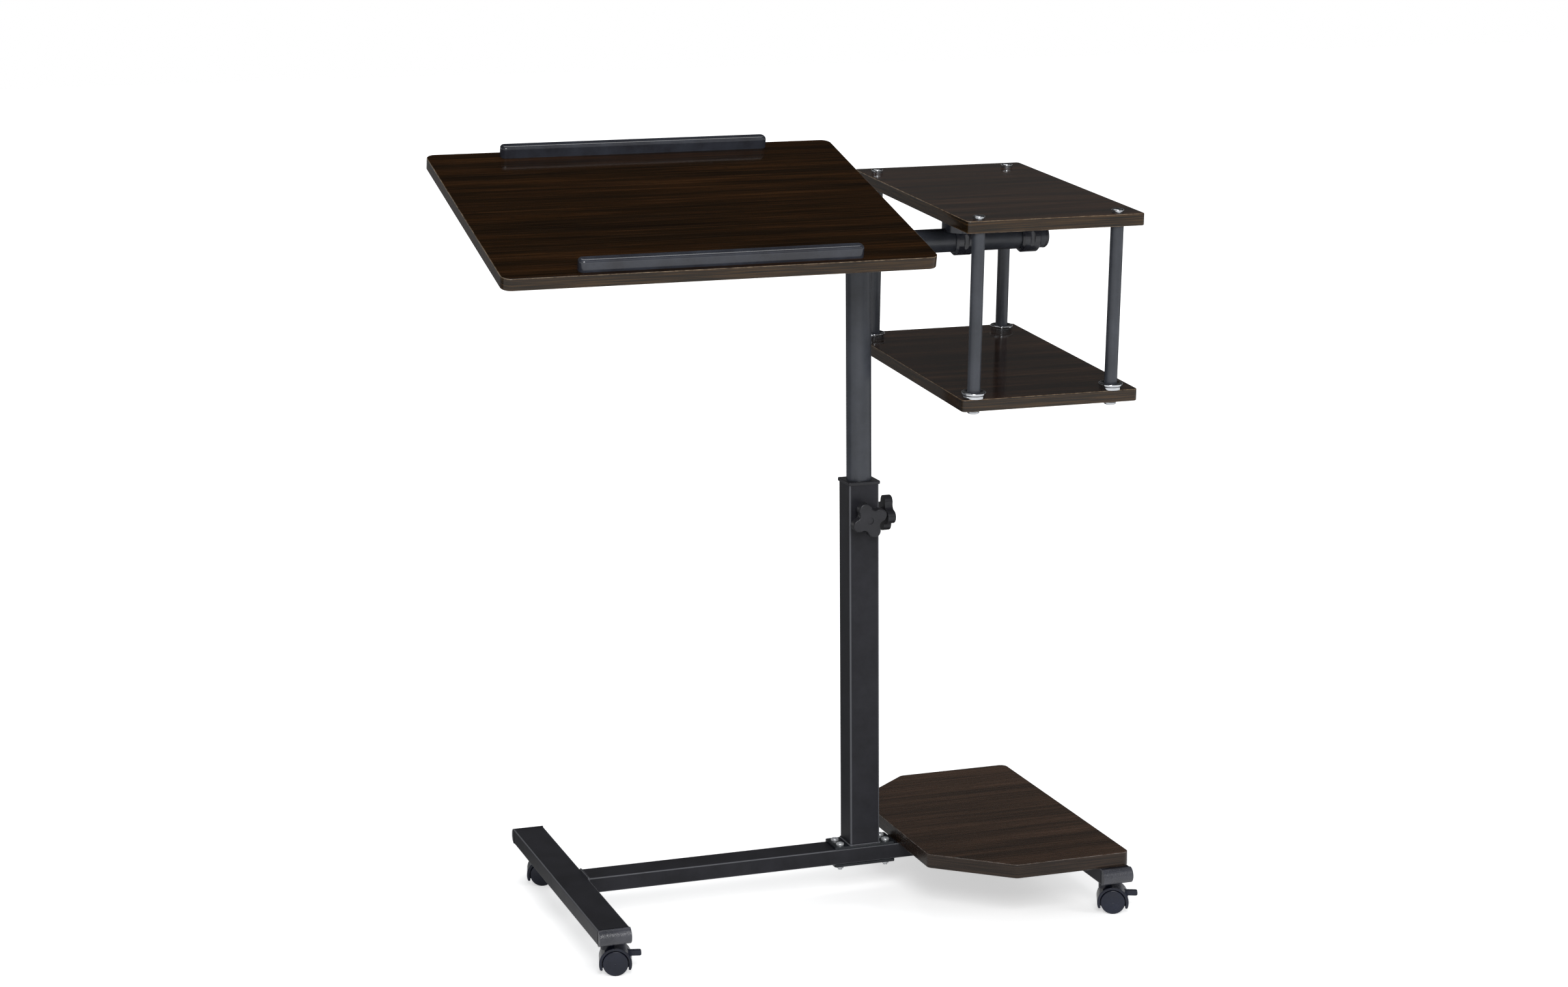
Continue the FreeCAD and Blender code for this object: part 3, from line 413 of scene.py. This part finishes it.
# %% Beads of the base and of the head
MAST_SIDE, MAST_CORNER = 40.0, 3.0
PLATE_TOP, BAR_TOP, BAR_BOTTOM, BAR_WIDTH = 69.5, 66.0, 46.0, 40.0
BAR_LEFT, BAR_RIGHT = -369.0, 247.0
TUBE_RADIUS, SLEEVE_RADIUS = 16.0, 19.0
WELD = {"Wire_radius": 0.0012, "Ripple_length": 0.0008, "Ripple_depth": 0.18, "Step": 0.0004}
mast_foot = rounded_rectangle(MAST_SIDE + 1, MAST_SIDE + 1, MAST_CORNER + 0.5,
                              lambda u, v: at(u, v, PLATE_TOP + 0.5))
bar_ends = [rounded_rectangle(BAR_WIDTH + 0.6, BAR_TOP - BAR_BOTTOM + 0.6, 2.3,
                              lambda u, v, x=x: at(x, u, (BAR_TOP + BAR_BOTTOM) / 2 + v))
            for x in (BAR_LEFT + 0.4, BAR_RIGHT - 0.4)]
grow("welds of the base", bead, lines("welds of the base", mast_foot, *bar_ends), "base", powder_coat, **WELD)
HEAD_BEAD_RADIUS = TUBE_RADIUS + 0.6
round_the_tube = [(HEAD_BEAD_RADIUS * math.cos(math.radians(a)), HEAD_BEAD_RADIUS * math.sin(math.radians(a)))
                  for a in range(0, 361, 6)]
saddle = [at(x, y, 1000 * BAR_Z - math.sqrt(SLEEVE_RADIUS ** 2 - y ** 2) - 0.3) for x, y in round_the_tube]
grow("weld of the head", bead, lines("weld of the head", saddle), "upper", tube_coat, **WELD)

# %% [markdown]
# ## Moulded ribs and rims
# Two ribs run round each end cap of the bar, and a fine bead runs along both rims of every caster hood. Where
# the foot caps meet their tubes, a fine near-black wire is painted into the seam as the shade in that gap.
# The brake levers have three ridges for the toe.

# %% Ribs of the bar's end caps
SMOOTH = {"Ripple_length": 0.01, "Ripple_depth": 0.0, "Step": 0.0008}
RIB_RADIUS, RIBS_AT = 14.7, (0.9, 2.4)
CAP_RIGHT, CAP_LEFT = 247.5, -396.5
caps = [arc(RIB_RADIUS, 0, 360, lambda u, v, x=x: at(x, u, 1000 * BAR_Z + v))
        for end, way in ((CAP_RIGHT, 1), (CAP_LEFT, -1)) for x in (end + way * off for off in RIBS_AT)]
grow("ribs of the bar caps", bead, lines("ribs of the bar caps", *caps), "upper", polished_plastic,
     Wire_radius=0.0006, **SMOOTH)

# %% Rims of the caster hoods
FOOT_X = {"left": -389.0, "right": 267.0}
CASTER_Y = {"front": -177.0, "back": 177.0}
CASTER_TURN = {"left": math.radians(-15.0), "right": math.radians(-23.0)}
AXLE_TRAIL, AXLE_Z, HOOD_OUTER, HOOD_HALF_WIDTH = 9.5, 15.5, 19.9, 15.25


def on_caster(row, side, reach, across, height):
    """Point in metres, from millimetres ahead of, across and above the foot of a caster's stem."""
    sine, cosine = math.sin(CASTER_TURN[side]), math.cos(CASTER_TURN[side])
    return at(FOOT_X[side] + reach * cosine - across * sine,
              CASTER_Y[row] + reach * sine + across * cosine, height)


for row in CASTER_Y:
    for side in FOOT_X:
        rims = [arc(HOOD_OUTER - 0.4, -20, 200,
                    lambda u, v, w=w: on_caster(row, side, AXLE_TRAIL + u, w, AXLE_Z + v))
                for w in (-HOOD_HALF_WIDTH + 0.1, HOOD_HALF_WIDTH - 0.1)]
        grow(f"rims of the {row} {side} hood", bead, lines("rims", *rims), f"swivel_{row}_{side}",
             caster_nylon, Wire_radius=0.0005, **SMOOTH)

# %% Painted shade in the seams of the foot caps
# A near-black wire painted into each seam stands in for the shade in the gap between cap and tube.
seam_shade_black = coated("painted seam shade", "#070708", "#0b0b0c", 0.6, 0.1, 0.8, 0.02, 0.2)
FOOT_HALF_LENGTH = 208.0
SEAM_WIDTH, SEAM_HEIGHT, SEAM_CORNER = 40.1, 20.1, 2.0
seams = [rounded_rectangle(SEAM_WIDTH, SEAM_HEIGHT, SEAM_CORNER,
                           lambda u, v, x=x, y=y: at(x + u, y, (BAR_TOP + BAR_BOTTOM) / 2 + v))
         for x in FOOT_X.values() for y in (-FOOT_HALF_LENGTH, FOOT_HALF_LENGTH)]
grow("painted shade in the foot cap seams", bead, lines("seams", *seams), "base", seam_shade_black,
     Wire_radius=0.00035, **SMOOTH)

# %% Ridges of the brake levers
LEVER_TOP, LEVER_HALF, RIDGES_AT = 27.75, 2.5, (33.4, 35.1, 36.8)
for side in FOOT_X:
    ridges = [[on_caster("front", side, reach, w, LEVER_TOP) for w in (-LEVER_HALF, LEVER_HALF)]
              for reach in RIDGES_AT]
    grow(f"ridges of the front {side} lever", bead, lines("ridges", *ridges), f"brake_front_{side}",
         caster_nylon, Wire_radius=0.00035, **SMOOTH)

# %% [markdown]
# ## Threads
# The mast bolts and the head bolt run a little way out of their nuts, and the light catches their threads.
# A thread is a ridge wound along a spiral, set on every bolt end. It is grown on a mesh of bare points, one
# at the foot of each bolt end.

# %% The tree that winds a thread at each point
thread, given = new_form("thread at points", ("Thread radius", "Pitch", "Length", "Ridge", "Turn"))
turns = add_node(thread, "ShaderNodeMath", {0: given["Length"], 1: given["Pitch"]}, operation="DIVIDE")
helix = add_node(thread, "GeometryNodeCurveSpiral", {0: 28, 1: turns, 2: given["Thread radius"],
                                                     3: given["Thread radius"], 4: given["Length"]})
section = add_node(thread, "GeometryNodeCurvePrimitiveCircle", {0: 6, 4: given["Ridge"]})
wound = add_node(thread, "GeometryNodeCurveToMesh", {0: helix, 1: section, 3: True})
turn = add_node(thread, "ShaderNodeCombineXYZ", {"X": given["Turn"]})
turn = add_node(thread, "FunctionNodeEulerToRotation", {0: turn})
placed = add_node(thread, "GeometryNodeInstanceOnPoints", {0: given["Geometry"], 2: wound, 5: turn})
end_form(thread, placed, given["Material"])

# %% Threads of the mast bolts and of the head bolt
BOLT_X, BOLT_Y, NUT_BOTTOM, BOLT_END = 31.0, 10.0, 38.5, 2.0
HEAD_NUT_Y = 27.0
ends = bpy.data.meshes.new("mast bolt ends")
corners = [at(x, y, NUT_BOTTOM - BOLT_END) for x in (-BOLT_X, BOLT_X) for y in (-BOLT_Y, BOLT_Y)]
ends.from_pydata(corners, [], [])
grow("threads of the mast bolts", thread, ends, "base", bright_zinc,
     Thread_radius=0.00245, Pitch=0.0008, Length=0.0019, Ridge=0.00022, Turn=0.0)
end = bpy.data.meshes.new("head bolt end")
end.from_pydata([at(0, HEAD_NUT_Y, 1000 * BAR_Z)], [], [])
grow("thread of the head bolt", thread, end, "upper", zinc,
     Thread_radius=0.00295, Pitch=0.001, Length=0.0028, Ridge=0.00028, Turn=math.radians(90))

# %% [markdown]
# ## Floor, light and camera
# The table stands on a seamless white floor. The floor is matt white paint that keeps the shadow, and it
# glows a little for the camera and for mirrors, more with distance, where less lamp light falls, so that it
# meets the white backdrop with no edge. The world does the same job above the floor: it is white all round
# for the camera, and for reflections it is white near the horizon and dark overhead, as in a studio with a
# white sweep under a dark ceiling, which is what keeps the glossy boards deep in colour. A broad soft panel
# high in front of the table gives rounded edges their highlight, and hangs too high for the boards to
# mirror it. Mirrors see a greyer floor than the camera does, nearly black behind the table, as if flags
# stood there: that keeps the tubes' left faces dark. They don't see the fill lamp at all, or the boards would
# mirror it whole when seen from behind.

# %% Floor and world
FLOOR_SIZE = 30.0
NEAR_GLOW = 0.54
FAR_GLOW = 1.0
FRONT_FLAG, BACK_FLAG = 0.4, 0.9
PANEL = 0.8
mesh = bpy.data.meshes.new("floor")
half_floor = FLOOR_SIZE / 2
mesh.from_pydata([(-half_floor, -half_floor, 0), (half_floor, -half_floor, 0), (half_floor, half_floor, 0),
                  (-half_floor, half_floor, 0)], [], [(0, 1, 2, 3)])
floor = bpy.data.objects.new("floor", mesh)
bpy.context.collection.objects.link(floor)


def seen_directly(tree):
    """One for rays from the camera, from mirrors and through glass, else zero."""
    rays = add_node(tree, "ShaderNodeLightPath").outputs
    seen = add_node(tree, "ShaderNodeMath", {0: rays["Is Camera Ray"], 1: rays["Is Glossy Ray"]},
                    operation="ADD")
    return add_node(tree, "ShaderNodeMath", {0: seen, 1: rays["Is Transmission Ray"]}, operation="ADD",
                    use_clamp=True)


floor_paint = bpy.data.materials.new("matt white studio paint")
floor_paint.use_nodes = True
tree = floor_paint.node_tree
tree.nodes.clear()
place = add_node(tree, "ShaderNodeTexCoord")
away = add_node(tree, "ShaderNodeVectorMath", {0: place.outputs["Object"]}, operation="LENGTH")
away = away.outputs["Value"]
strength = add_node(tree, "ShaderNodeMapRange", {"Value": away, 1: 0.9, 2: 3.0, 3: NEAR_GLOW, 4: FAR_GLOW})
strength = add_node(tree, "ShaderNodeMath", {0: seen_directly(tree), 1: strength}, operation="MULTIPLY")
matt = add_node(tree, "ShaderNodeBsdfDiffuse", {"Color": linear("#e6e6e6")})
glow = add_node(tree, "ShaderNodeEmission", {"Color": linear("#ffffff"), "Strength": strength})
both = add_node(tree, "ShaderNodeAddShader", {0: matt, 1: glow})
depth = add_node(tree, "ShaderNodeSeparateXYZ", {0: place.outputs["Object"]}).outputs["Y"]
behind = add_node(tree, "ShaderNodeMapRange", {"Value": depth, 1: -0.1, 2: 0.35, 3: FRONT_FLAG, 4: BACK_FLAG})
mirrored = add_node(tree, "ShaderNodeLightPath").outputs["Is Glossy Ray"]
flagged = add_node(tree, "ShaderNodeMath", {0: behind, 1: mirrored}, operation="MULTIPLY")
flag = add_node(tree, "ShaderNodeEmission", {"Color": linear("#26282b")})
shown = add_node(tree, "ShaderNodeMixShader", {0: flagged, 1: both, 2: flag})
add_node(tree, "ShaderNodeOutputMaterial", {"Surface": shown})
mesh.materials.append(floor_paint)

world = bpy.data.worlds.new("white sweep studio")
bpy.context.scene.world = world
world.use_nodes = True
tree = world.node_tree
tree.nodes.clear()
coords = add_node(tree, "ShaderNodeTexCoord")
_, to_the_back, upward = add_node(tree, "ShaderNodeSeparateXYZ", {0: coords.outputs["Generated"]}).outputs
overhead = add_node(tree, "ShaderNodeMapRange", {"Value": upward, 1: 0.3, 2: 0.6, 3: 0.06, 4: 0.01})
sweep = add_node(tree, "ShaderNodeMapRange", {"Value": upward, 1: 0.02, 2: 0.12, 3: 0.9, 4: overhead})
front = add_node(tree, "ShaderNodeMapRange", {"Value": to_the_back, 1: -0.2, 2: -0.5})
low = add_node(tree, "ShaderNodeMapRange", {"Value": upward, 1: 0.7, 2: 0.85, 3: PANEL, 4: 0.0})
high = add_node(tree, "ShaderNodeMapRange", {"Value": upward, 1: 0.3, 2: 0.42})
panel = add_node(tree, "ShaderNodeMath", {0: front, 1: low}, operation="MULTIPLY")
panel = add_node(tree, "ShaderNodeMath", {0: panel, 1: high}, operation="MULTIPLY")
mirrors_see = add_node(tree, "ShaderNodeMath", {0: sweep, 1: panel}, operation="MAXIMUM")
camera_sees = add_node(tree, "ShaderNodeLightPath").outputs["Is Camera Ray"]
shown = add_node(tree, "ShaderNodeMath", {0: camera_sees, 1: mirrors_see}, operation="MAXIMUM")
sky = add_node(tree, "ShaderNodeBackground", {"Color": linear("#f4f6f8"), "Strength": 0.5})
backdrop = add_node(tree, "ShaderNodeBackground", {"Color": linear("#ffffff"), "Strength": shown})
either = add_node(tree, "ShaderNodeMixShader", {0: seen_directly(tree), 1: sky, 2: backdrop})
add_node(tree, "ShaderNodeOutputWorld", {"Surface": either})


# %% Lamps


def soft_lamp(name, place, target, size, watts, mirrored=True):
    """Square area lamp aimed at a point, which mirrors see or not."""
    lamp = bpy.data.lights.new(name, "AREA")
    lamp.size = size
    lamp.energy = watts
    holder = bpy.data.objects.new(name, lamp)
    holder.location = place
    holder.rotation_euler = (Vector(target) - Vector(place)).to_track_quat("-Z", "Y").to_euler()
    holder.visible_glossy = mirrored
    bpy.context.collection.objects.link(holder)
    print(name, "of", watts, "W")


CENTRE = (0.0, 0.0, 0.5)
soft_lamp("key lamp", (-0.8, -3.3, 2.4), CENTRE, 1.3, 82.0)
soft_lamp("fill lamp", (2.6, -2.2, 1.6), CENTRE, 1.1, 24.0, mirrored=False)
soft_lamp("top lamp", (0.2, 0.9, 3.4), CENTRE, 1.8, 24.0)

# %% Camera
FRAME_WIDTH_PX = 2408
FOCAL_PX = 4767.9
CAMERA_PLACE = Vector((MAST_X - 1.3194, -3.6129, 1.3234))
YAW = math.radians(18.65)
PITCH = math.radians(11.69)
ROLL = math.radians(-0.45)
ahead = Vector((math.sin(YAW) * math.cos(PITCH), math.cos(YAW) * math.cos(PITCH), -math.sin(PITCH)))
level_right = Vector((math.cos(YAW), -math.sin(YAW), 0.0))
level_up = level_right.cross(ahead)
right = math.cos(ROLL) * level_right + math.sin(ROLL) * level_up
up = math.cos(ROLL) * level_up - math.sin(ROLL) * level_right
camera_data = bpy.data.cameras.new("camera")
camera_data.sensor_width = 36.0
camera_data.lens = FOCAL_PX * camera_data.sensor_width / FRAME_WIDTH_PX
camera = bpy.data.objects.new("camera", camera_data)
camera.matrix_world = Matrix.Translation(CAMERA_PLACE) @ Matrix((right, up, -ahead)).transposed().to_4x4()
bpy.context.collection.objects.link(camera)
bpy.context.scene.camera = camera
bpy.context.scene.view_settings.view_transform = "Standard"
